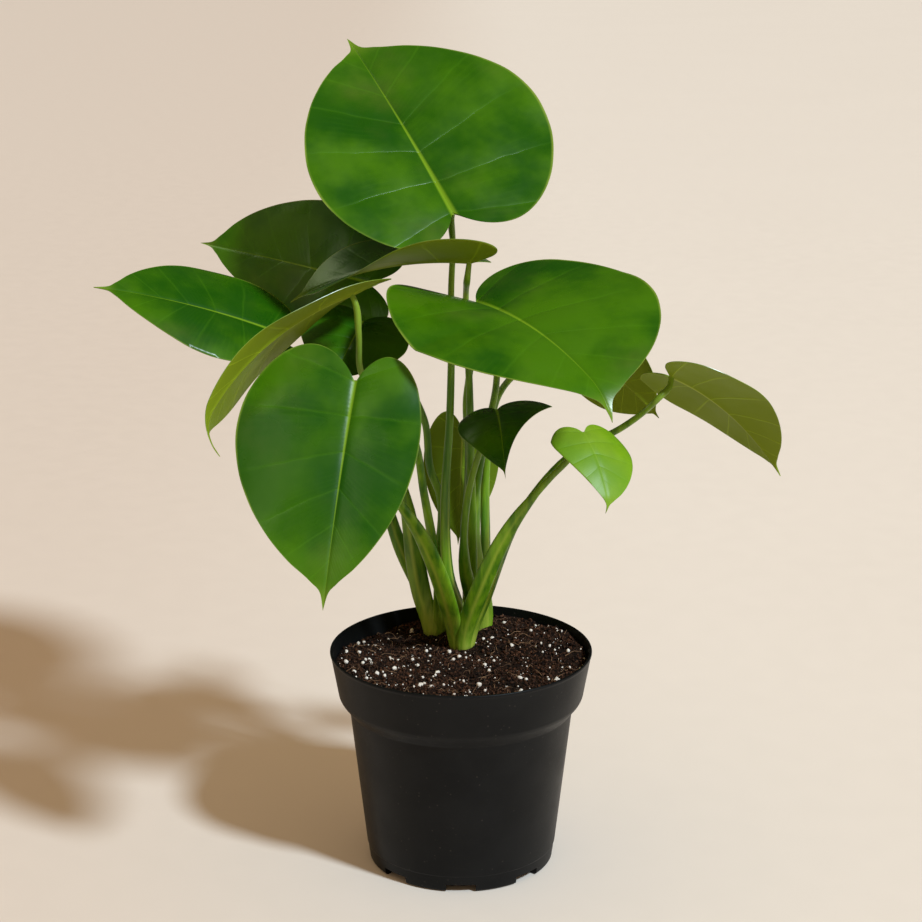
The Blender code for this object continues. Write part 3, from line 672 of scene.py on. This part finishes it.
def make_pot(material):
    pot = piece("pot_shell", turned(pot_profile(), POT_SIDES), material, crease=40)
    foot_start = BASE_RADIUS - CORNER_RADIUS - FOOT_RING_WIDTH
    notches = bmesh.new()
    for number in range(NOTCHES):
        made = bmesh.ops.create_cube(notches, size=1.0)["verts"]
        bmesh.ops.scale(notches, verts=made, vec=(4 * FOOT_RING_WIDTH, NOTCH_WIDTH, 2 * NOTCH_HEIGHT))
        bmesh.ops.translate(notches, verts=made, vec=(foot_start + 2 * FOOT_RING_WIDTH, 0.0, 0.0))
        turn = 2 * math.pi * number / NOTCHES - math.pi / 2
        bmesh.ops.rotate(notches, verts=made, matrix=Matrix.Rotation(turn, 3, "Z"))
    holes = bmesh.new()
    for number in range(DRAIN_HOLES):
        made = bmesh.ops.create_cone(holes, cap_ends=True, segments=24, radius1=DRAIN_HOLE_RADIUS,
                                     radius2=DRAIN_HOLE_RADIUS, depth=6 * FLOOR_THICKNESS)["verts"]
        bmesh.ops.translate(holes, verts=made, vec=(DRAIN_RING_RADIUS, 0.0, FOOT_LIFT))
        turn = 2 * math.pi * (number + 0.5) / DRAIN_HOLES - math.pi / 2
        bmesh.ops.rotate(holes, verts=made, matrix=Matrix.Rotation(turn, 3, "Z"))
    cut_away(pot, (notches, holes))
    settle(pot, "pot", "nursery_pot")


# Soil.

def soil_height(x, y):
    """Height of the soil's uneven top: heaped at the back right, hollow at the back left."""
    rim = min(1.0, math.hypot(x, y) / SOIL_RADIUS)
    level = SOIL_LEVEL + SOIL_DISH * math.sin(math.pi / 2 * rim) ** 2
    for (across, back), height, spread in SOIL_SWELLS:
        level += height * math.exp(-((x - across) ** 2 + (y - back) ** 2) / (2 * spread ** 2))
    clumps = CLUMP_HEIGHT * noise.noise(Vector((x, y, 0.3)) * 60)
    crumbs = CRUMB_HEIGHT * noise.fractal(Vector((x, y, 0.7)) * 340, 0.8, 2.2, 4)
    return level + clumps + crumbs


def make_soil(material):
    inset = POT_WALL + SOIL_GAP
    bottom = FOOT_LIFT + FLOOR_THICKNESS + SOIL_GAP
    shoulder = POT_HEIGHT - LIP_DEPTH - LEDGE_DEPTH
    profile = [
        (0.0, bottom), (wall_radius(bottom, inset), bottom), (SHOULDER_RADIUS - inset, shoulder),
        (LIP_FOOT_RADIUS - inset, POT_HEIGHT - LIP_DEPTH),
    ]
    top = [(SOIL_RADIUS * step / SOIL_RINGS, SOIL_EDGE) for step in range(SOIL_RINGS, -1, -1)]
    shape = turned(profile + top, SOIL_SIDES)
    for vert in shape.verts:
        if vert.co.z > SOIL_EDGE - 1e-6:
            vert.co.z = soil_height(vert.co.x, vert.co.y)
    settle(piece("soil_bed", shape, material, crease=180), "soil", "potting_soil")


def soil_spots(count, seed, clear):
    """Random places on the soil, kept away from the crowns, with a seeded generator."""
    chance = random.Random(seed)
    spots = []
    while len(spots) < count:
        radius = (SOIL_RADIUS - 0.0015) * math.sqrt(chance.random())
        turn = 2 * math.pi * chance.random()
        x, y = radius * math.cos(turn), radius * math.sin(turn)
        if all(math.hypot(x - middle.x, y - middle.y) > clear for middle in CROWNS.values()):
            spots.append((x, y, chance))
    return spots


def make_grains(name, count, seed, sizes, sink, lump, material, slot):
    """Small lumps scattered on the soil: sizes is the least and the greatest radius."""
    shape = bmesh.new()
    spots = soil_spots(count, seed, CROWN_CLEARING)
    for first in range(0, count, GRAIN_BATCH):
        batch = bmesh.new()
        for x, y, chance in spots[first:first + GRAIN_BATCH]:
            size = sizes[0] + (sizes[1] - sizes[0]) * chance.random() ** 3
            squash = Vector([1 + 0.35 * (chance.random() - 0.5) for _ in range(3)])
            turn = Matrix.Rotation(math.tau * chance.random(), 4, Vector([chance.random() for _ in range(3)]))
            centre = Vector((x, y, soil_height(x, y) + size * sink))
            made = bmesh.ops.create_icosphere(batch, subdivisions=1, radius=size)["verts"]
            for vert in made:
                grown = vert.co * (1 + lump * noise.noise(vert.co * 900 + centre * 1000))
                vert.co = turn @ Vector(part * share for part, share in zip(grown, squash)) + centre
        done = bpy.data.meshes.new("grains")
        batch.to_mesh(done)
        batch.free()
        shape.from_mesh(done)
        bpy.data.meshes.remove(done)
    settle(piece(name, shape, material, crease=180), slot)


def make_fibres(material):
    """Loose strands lying on the soil, thin tubes bent at random."""
    data = bpy.data.curves.new("coir_strands", "CURVE")
    data.dimensions = "3D"
    data.bevel_depth = FIBRE_RADIUS
    data.bevel_resolution = 0
    data.use_fill_caps = True
    for x, y, chance in soil_spots(FIBRES, 23, 0.010):
        heading = math.tau * chance.random()
        bend = 0.5 * (chance.random() - 0.5)
        step = 0.0008 + 0.0016 * chance.random()
        strand = data.splines.new("POLY")
        strand.points.add(5)
        for place, point in enumerate(strand.points):
            if math.hypot(x, y) > SOIL_RADIUS - 0.001:
                x, y = x * 0.98, y * 0.98
            lift = 0.0008 + 0.0016 * math.sin(math.pi * place / 5) * chance.random()
            point.co = (x, y, soil_height(x, y) + lift, 1.0)
            point.radius = 1.3 - 0.15 * place
            x += step * math.cos(heading)
            y += step * math.sin(heading)
            heading += bend
    strands = bpy.data.objects.new(data.name, data)
    bpy.context.scene.collection.objects.link(strands)
    data.materials.append(material)
    settle(strands, "soil")


# Plant.

def ring_radius(crown):
    """Radius of the ring on which a crown's stalks stand side by side."""
    count = sum(leaf["crown"] == crown for leaf in LEAVES)
    return (2 * STEM_BASE_RADIUS + STEM_GAP) / (2 * math.sin(math.pi / count))


def make_rootstock(name, material):
    """A short knobbly stem between the soil and the stalks, ringed by old leaf scars."""
    centre = CROWNS[name]
    shoulder = ring_radius(name) + 0.2 * STEM_BASE_RADIUS
    profile = [(0.0, -0.020), (0.6 * shoulder, -0.020), (shoulder, -0.011)]
    for step in range(9):
        scar = SCAR_HEIGHT * (step % 2)
        profile.append((shoulder * (1.0 - 0.02 * step) + scar, -0.010 + 0.0011 * step))
    profile += [(0.7 * shoulder, 0.0002), (0.0, 0.0006)]
    shape = turned(profile, 40)
    for vert in shape.verts:
        knob = noise.noise(vert.co * 220 + centre * 50)
        vert.co = centre + vert.co + KNOB_HEIGHT * knob * vert.co.normalized()
    settle(piece(f"rootstock_{name}", shape, material), "crowns", f"crown_{name}")


def blade_frame(leaf):
    """A blade's base, its length, and the directions along it, across it and out of its upper face."""
    base = DATUM + Vector(leaf["base"])
    chord = Vector(leaf["tip"]) - Vector(leaf["base"])
    along = chord.normalized()
    face = Vector(leaf["face"])
    out = (face - face.dot(along) * along).normalized()
    return base, chord.length, along, along.cross(out), out


def turned_pair(across, out, degrees):
    turn = math.radians(degrees)
    return (math.cos(turn) * across + math.sin(turn) * out, math.cos(turn) * out - math.sin(turn) * across)


def bent(angle):
    return angle if abs(angle) > FLATTEST_BEND else FLATTEST_BEND


def blade_place(leaf, frame_of_blade, margin, rib, share, side):
    """Place, distance from the rib and share of the length, on the upper face or, at side 0, the lower."""
    base, length, along, across, out = frame_of_blade
    half = 0 if share < 0 else 1
    reach = abs(share)
    back = leaf["lobes"][half] if margin.y < 0 else 1.0
    run = rib + (margin.y * back + leaf["sweep"][half] * margin.x - rib) * reach
    spread = margin.x * math.exp(-leaf["pinch"][half] * max(0.0, margin.y)) * reach
    arch = bent(math.radians(leaf["arch"]))
    slope = arch / 2 - arch * run
    bow = length / (2 * math.sin(arch / 2))
    point = base + bow * ((math.sin(arch / 2) - math.sin(slope)) * along
                          + (math.cos(slope) - math.cos(arch / 2)) * out)
    normal = math.cos(slope) * out - math.sin(slope) * along
    wing, normal = turned_pair(across, normal, leaf["twist"] * (run - TWIST_CENTRE))
    fold = math.radians(leaf["fold"][half])
    curl = bent(math.radians(leaf["curl"][half]))
    reach_out = leaf["width"] / 2 * leaf["halves"][half] / curl
    over = reach_out * (math.sin(fold + curl * spread) - math.sin(fold))
    up = reach_out * (math.cos(fold) - math.cos(fold + curl * spread))
    up += leaf["lift"][half] * length * spread * min(1.0, max(0.0, LIFT_END - run))
    up += leaf["hook"] * length * max(0.0, (run - HOOK_START) / (1 - HOOK_START)) ** 2
    up += RIPPLE * length * spread ** 3 * math.sin(9 * run + 4 * leaf["width"] * 100 + half)
    near_rib = math.exp(-(over / (RIB_WIDTH * (1.5 - run))) ** 2)
    if side:
        up -= RIB_GROOVE * near_rib * (1 - 0.6 * run)
    else:
        up -= BLADE_THICKNESS * (1 - 0.6 * reach ** 6) + RIB_RIDGE * near_rib * (1 - run) ** 0.7
    return point + math.copysign(over, share) * wing + up * normal, run, spread


def base_normal(leaf):
    """Direction out of the blade's upper face where the stalk meets it."""
    _, _, along, across, out = blade_frame(leaf)
    slope = math.radians(leaf["arch"]) / 2
    normal = math.cos(slope) * out - math.sin(slope) * along
    return turned_pair(across, normal, -leaf["twist"] * TWIST_CENTRE)[1].normalized()


def make_blade(leaf, upper_finish, lower_finish):
    """A grid extruded into two faces, each point then moved to its place on the leaf."""
    outline = smooth_route([(across, along, 0.0) for across, along in HALF_OUTLINE], BLADE_ROWS_PER_STRETCH)
    frame_of_blade = blade_frame(leaf)
    rows = len(outline) - 1
    shape = bmesh.new()
    layers = [shape.verts.layers.float.new(name) for name in ("along", "across", "side", "edge", "size")]
    bmesh.ops.create_grid(shape, x_segments=2 * BLADE_COLUMNS, y_segments=rows, size=1.0)
    upper = list(shape.verts)
    made = bmesh.ops.extrude_face_region(shape, geom=shape.faces[:])["geom"]
    lower = [item for item in made if isinstance(item, bmesh.types.BMVert)]
    for side, verts in ((1, upper), (0, lower)):
        for vert in verts:
            share = math.copysign(abs(vert.co.x) ** COLUMN_CROWDING, vert.co.x)
            row = round((vert.co.y + 1) / 2 * rows)
            rib = RIB_END * max(0.0, (row / rows - RIB_START) / (1 - RIB_START)) if row < rows else 1.0
            vert.co, run, spread = blade_place(leaf, frame_of_blade, outline[row], rib, share, side)
            readings = (run, math.copysign(spread, share), side, abs(share), leaf["width"] / WIDEST_BLADE)
            for layer, reading in zip(layers, readings):
                vert[layer] = reading
    for face in shape.faces:
        face.material_index = int(not any(vert[layers[2]] for vert in face.verts))
    bmesh.ops.remove_doubles(shape, verts=shape.verts, dist=2e-6)
    bmesh.ops.recalc_face_normals(shape, faces=shape.faces)
    blade = piece(f"blade_{leaf['name']}", shape, upper_finish, crease=75)
    blade.data.materials.append(lower_finish)
    settle(blade, "leaves", f"leaf_{leaf['name']}")


def stalk_route(leaf):
    """Points up the middle of the stalk, from inside the crown to the blade."""
    turn = math.radians(leaf["slot"])
    ring = ring_radius(leaf["crown"])
    outward = Vector((math.cos(turn), math.sin(turn), 0.0))
    foot = CROWNS[leaf["crown"]] + ring * outward
    normal = base_normal(leaf)
    head = DATUM + Vector(leaf["base"]) - BLADE_THICKNESS * normal
    stops = [foot - 0.25 * ring * outward - Vector((0.0, 0.0, STEM_SINK)), foot]
    stops += [DATUM + Vector(stop) for stop in leaf["route"]]
    stops += [head - STEM_RISE * normal, head]
    return smooth_route(stops, STEM_STEPS)


def ring_order(vert):
    return vert.index


def make_stalk(leaf, material):
    """A tube drawn up its route: a flattened, keeled sheath at the foot, round above it."""
    route = stalk_route(leaf)
    turn = math.radians(leaf["slot"])
    outward = (Vector((math.cos(turn), math.sin(turn), 0.0)) + Vector((0.0, -1.2, 0.0))).normalized()
    wrap_width, wrap_share = leaf["sheath"]
    shape = bmesh.new()
    rise_layer = shape.verts.layers.float.new("rise")
    ridge_layer = shape.verts.layers.float.new("ridge")
    ring = bmesh.ops.create_circle(shape, segments=STEM_SIDES, radius=1.0)["verts"]
    edges = list(shape.edges)
    bmesh.ops.edgeloop_fill(shape, edges=edges)
    last = len(route) - 1
    lengths = [0.0]
    for start, end in zip(route, route[1:]):
        lengths.append(lengths[-1] + (end - start).length)
    for place, middle in enumerate(route):
        if place:
            made = bmesh.ops.extrude_edge_only(shape, edges=edges)["geom"]
            ring = [item for item in made if isinstance(item, bmesh.types.BMVert)]
            edges = [item for item in made if isinstance(item, bmesh.types.BMEdge)]
        ring = sorted(ring, key=ring_order)
        rise = lengths[place] / lengths[-1]
        ahead = (route[min(last, place + 1)] - route[max(0, place - 1)]).normalized()
        front = (outward - outward.dot(ahead) * ahead).normalized()
        wide = ahead.cross(front)
        wrapped = math.sin(math.pi * min(1.0, (rise + 0.02) / (wrap_share + 0.02)) ** 0.75) ** 0.8
        wrapped = 0.0 if rise > wrap_share else wrapped
        body = STEM_BODY_RADIUS + (STEM_TIP_RADIUS - STEM_BODY_RADIUS) * rise ** 1.6
        knee = 0.0004 * math.exp(-((rise - 0.95) / 0.03) ** 2)
        half_wide = body + knee + (wrap_width / 2 - body) * max(0.0, wrapped)
        half_deep = (body + knee) * (1 - 0.10 * max(0.0, wrapped))
        for number, vert in enumerate(ring):
            angle = math.tau * number / STEM_SIDES
            flat, deep = math.cos(angle), math.sin(angle)
            keel = math.exp(-(flat / KEEL_WIDTH) ** 2) * max(0.0, wrapped)
            deep += (KEEL_HEIGHT if deep > 0 else BACK_GROOVE) * keel
            vert.co = middle + half_wide * flat * wide + half_deep * deep * front
            vert[rise_layer] = rise
            vert[ridge_layer] = keel if deep > 0 else abs(flat) ** 6 * max(0.0, wrapped)
    bmesh.ops.edgeloop_fill(shape, edges=edges)
    bmesh.ops.recalc_face_normals(shape, faces=shape.faces)
    settle(piece(f"stalk_{leaf['name']}", shape, material, crease=75), "stems", f"stem_{leaf['name']}")


# Studio.

def sheen_lamp(name, sides, energy):
    lamp = bpy.data.lights.new(name, "AREA")
    lamp.shape = "RECTANGLE"
    lamp.size, lamp.size_y = sides
    lamp.energy = energy
    lamp.color = SHEEN_COLOUR
    return lamp


def make_studio():
    floor = bmesh.new()
    bmesh.ops.create_grid(floor, x_segments=1, y_segments=1, size=FLOOR_SIZE / 2)
    piece("studio_floor", floor, floor_finish())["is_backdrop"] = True
    world = bpy.data.worlds.new("studio")
    bpy.context.scene.world = world
    world.use_nodes = True
    sky = world.node_tree.nodes["Background"]
    mirrored = put(world.node_tree, "ShaderNodeLightPath").outputs["Is Glossy Ray"]
    tint = blended(world.node_tree, mirrored, ROOM_TINT, DIM_ROOM_TINT)
    world.node_tree.links.new(tint, sky.inputs["Color"])
    sky.inputs["Strength"].default_value = 1.0
    key = bpy.data.lights.new("key", "SUN")
    key.energy = KEY_STRENGTH
    key.angle = math.radians(KEY_SPREAD)
    key.color = KEY_COLOUR
    window = sheen_lamp("window", (0.5, 0.6), 2.6)
    screen = sheen_lamp("screen", (0.18, 0.8), 0.8)
    for lamp, place in ((key, KEY_PLACE), (window, WINDOW_PLACE), (screen, SCREEN_PLACE)):
        obj = bpy.data.objects.new(lamp.name, lamp)
        obj.visible_diffuse = lamp is key
        obj.location = place
        obj.rotation_euler = (Vector(LAMP_AIM) - Vector(place)).to_track_quat("-Z", "Y").to_euler()
        bpy.context.scene.collection.objects.link(obj)
    bpy.context.scene.view_settings.view_transform = "Standard"
    camera = bpy.data.objects.new("camera", bpy.data.cameras.new("camera"))
    camera.data.lens = CAMERA_LENS
    camera.data.sensor_width = 36.0
    camera.location = CAMERA_PLACE
    camera.rotation_euler = (math.radians(90 - CAMERA_TILT), 0.0, 0.0)
    bpy.context.scene.collection.objects.link(camera)
    bpy.context.scene.camera = camera


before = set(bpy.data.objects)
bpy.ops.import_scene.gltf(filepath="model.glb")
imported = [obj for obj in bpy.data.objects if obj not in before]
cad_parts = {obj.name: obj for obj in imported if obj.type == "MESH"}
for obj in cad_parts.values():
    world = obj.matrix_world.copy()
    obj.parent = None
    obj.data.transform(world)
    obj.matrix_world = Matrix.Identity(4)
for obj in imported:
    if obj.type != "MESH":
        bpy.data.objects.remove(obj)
cad_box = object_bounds()
LEAVES = tuple(PLAIN_SHAPE | leaf for leaf in LEAVES)
POT_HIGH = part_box("nursery_pot")[1]
POT_HEIGHT, RIM_RADIUS = POT_HIGH.z, POT_HIGH.x
SOIL_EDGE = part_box("potting_soil")[1].z
SOIL_LEVEL = SOIL_EDGE - SOIL_DISH
SOIL_RADIUS = wall_radius(SOIL_EDGE, POT_WALL + SOIL_GAP)
back_low, back_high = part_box("crown_back")
DATUM = Vector((0.0, (back_low.y + back_high.y) / 2 - CROWN_PLACES["back"][1], POT_HEIGHT))
CROWNS = {}
for crown_name in CROWN_PLACES:
    low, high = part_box(f"crown_{crown_name}")
    CROWNS[crown_name] = Vector(((low.x + high.x) / 2, (low.y + high.y) / 2, high.z))

make_studio()
fleck_group = speckle_group()
veins_of_blade = vein_group()
make_pot(plastic_finish(fleck_group))
make_soil(peat_finish("peat", (0.006, 0.0032, 0.0022), (0.050, 0.021, 0.011), fleck_group))
crumb_finish = peat_finish("peat_crumb", (0.006, 0.0028, 0.0018), (0.135, 0.056, 0.028), fleck_group)
make_grains("peat_crumbs", PEAT_CRUMBS, 7, (0.0003, 0.0013), 0.4, 0.9, crumb_finish, "soil")
perlite = perlite_finish(fleck_group)
make_grains("perlite_grains", PERLITE_GRAINS, 11, (0.0003, 0.0016), 0.5, 0.5, perlite, "soil")
make_fibres(fibre_finish())
rootstock_skin = rootstock_finish(fleck_group)
for crown_name in CROWN_PLACES:
    make_rootstock(crown_name, rootstock_skin)
stalk_skin = stalk_finish(fleck_group)
grown = (blade_upper_finish("grown_blade", (0.010, 0.074, 0.0005), (0.052, 0.158, 0.001), veins_of_blade),
         blade_lower_finish("grown_blade_back", (0.195, 0.265, 0.008), veins_of_blade))
young = (blade_upper_finish("young_blade", (0.125, 0.280, 0.002), (0.230, 0.400, 0.004), veins_of_blade,
                            gloss=0.45),
         blade_lower_finish("young_blade_back", (0.165, 0.260, 0.010), veins_of_blade))
for plan in LEAVES:
    make_stalk(plan, stalk_skin)
    make_blade(plan, *(young if plan["name"] in YOUNG_LEAVES else grown))

boxes = {"cad_box": cad_box, "visual_box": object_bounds()}
{name: [list(corner) for corner in box] for name, box in boxes.items()}
